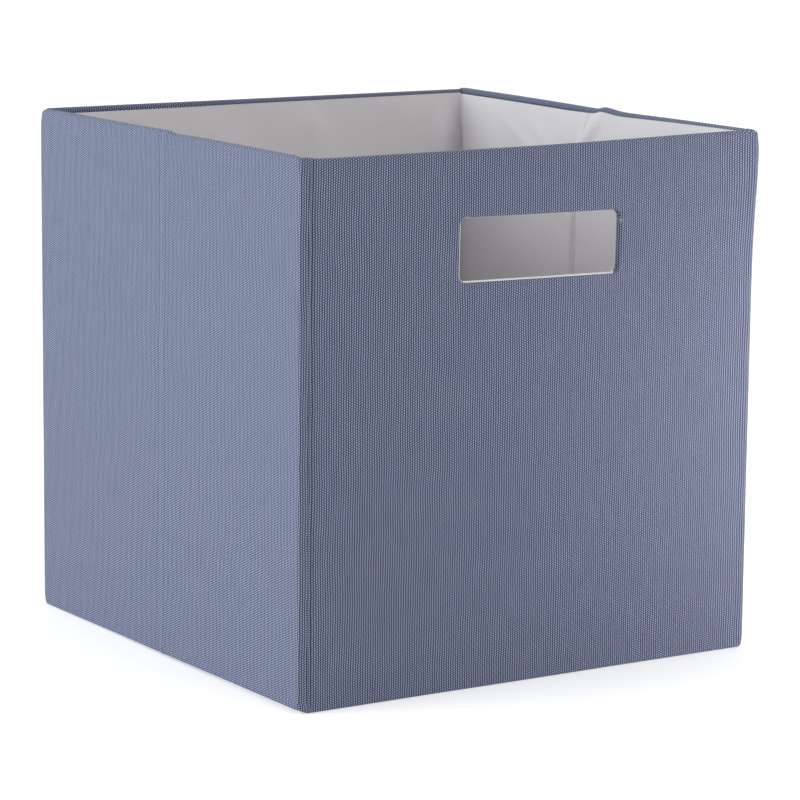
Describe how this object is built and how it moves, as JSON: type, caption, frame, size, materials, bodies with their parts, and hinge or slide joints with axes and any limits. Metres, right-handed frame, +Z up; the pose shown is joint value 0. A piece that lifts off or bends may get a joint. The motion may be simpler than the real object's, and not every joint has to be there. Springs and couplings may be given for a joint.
{
  "type": "fabric storage bin",
  "caption": "Square open-topped folding storage bin of cloth over stiff boards, with a hand hole in the front wall, creased side walls and a loose bottom board.",
  "frame": {"origin": "middle of the underside, on the surface that the bin stands on", "axes": "-Y faces out of the front wall, which has the hand hole; +Z is up; +X is to the right seen from the front"},
  "size_m": [0.33, 0.33, 0.33],
  "materials": {
    "outer_cloth": "coarse two-tone woven cloth, grey blue, matt",
    "lining_cloth": "thin smooth non-woven, white, matt",
    "wall_board": "grey-brown board, matt"
  },
  "bodies": {
    "back_wall": {"back_cover": "outer_cloth", "back_board": "wall_board", "back_lining": "lining_cloth", "base_cover": "outer_cloth", "base_lining": "lining_cloth"},
    "left_rear_wall": {"left_rear_cover": "outer_cloth", "left_rear_board": "wall_board", "left_rear_lining": "lining_cloth"},
    "left_front_wall": {"left_front_cover": "outer_cloth", "left_front_board": "wall_board", "left_front_lining": "lining_cloth"},
    "front_wall": {"front_cover": "outer_cloth", "front_board": "wall_board", "front_lining": "lining_cloth"},
    "right_rear_wall": {"right_rear_cover": "outer_cloth", "right_rear_board": "wall_board", "right_rear_lining": "lining_cloth"},
    "right_front_wall": {"right_front_cover": "outer_cloth", "right_front_board": "wall_board", "right_front_lining": "lining_cloth"},
    "base_insert": {"insert_board": "wall_board", "insert_cover": "lining_cloth"}
  },
  "joints": [
    {"name": "fold", "type": "hinge", "parent": "back_wall", "child": "left_rear_wall", "pos_m": [-0.1599, 0.1599, 0.165], "axis": [0, 0, 1], "range_deg": [0, 89], "deforming": ["base_cover", "base_lining"]},
    {"name": "left_crease", "type": "hinge", "parent": "left_rear_wall", "child": "left_front_wall", "pos_m": [-0.165, 0, 0.165], "axis": [0, 0, 1], "range_deg": [-178, 0]},
    {"name": "front_left_corner", "type": "hinge", "parent": "left_front_wall", "child": "front_wall", "pos_m": [-0.1599, -0.1599, 0.165], "axis": [0, 0, 1], "range_deg": [0, 89]},
    {"name": "right_rear_corner", "type": "hinge", "parent": "back_wall", "child": "right_rear_wall", "pos_m": [0.1599, 0.1599, 0.165], "axis": [0, 0, 1], "range_deg": [-89, 0]},
    {"name": "right_crease", "type": "hinge", "parent": "right_rear_wall", "child": "right_front_wall", "pos_m": [0.165, 0, 0.165], "axis": [0, 0, 1], "range_deg": [0, 178]},
    {"name": "insert_lift", "type": "slide", "parent": "back_wall", "child": "base_insert", "axis": [0, 0, 1], "range_m": [0, 0.35]}
  ],
  "couplings": [
    {"joint": "left_crease", "follows": "fold", "ratio": -2},
    {"joint": "front_left_corner", "follows": "fold", "ratio": 1},
    {"joint": "right_rear_corner", "follows": "fold", "ratio": -1},
    {"joint": "right_crease", "follows": "fold", "ratio": 2}
  ]
}
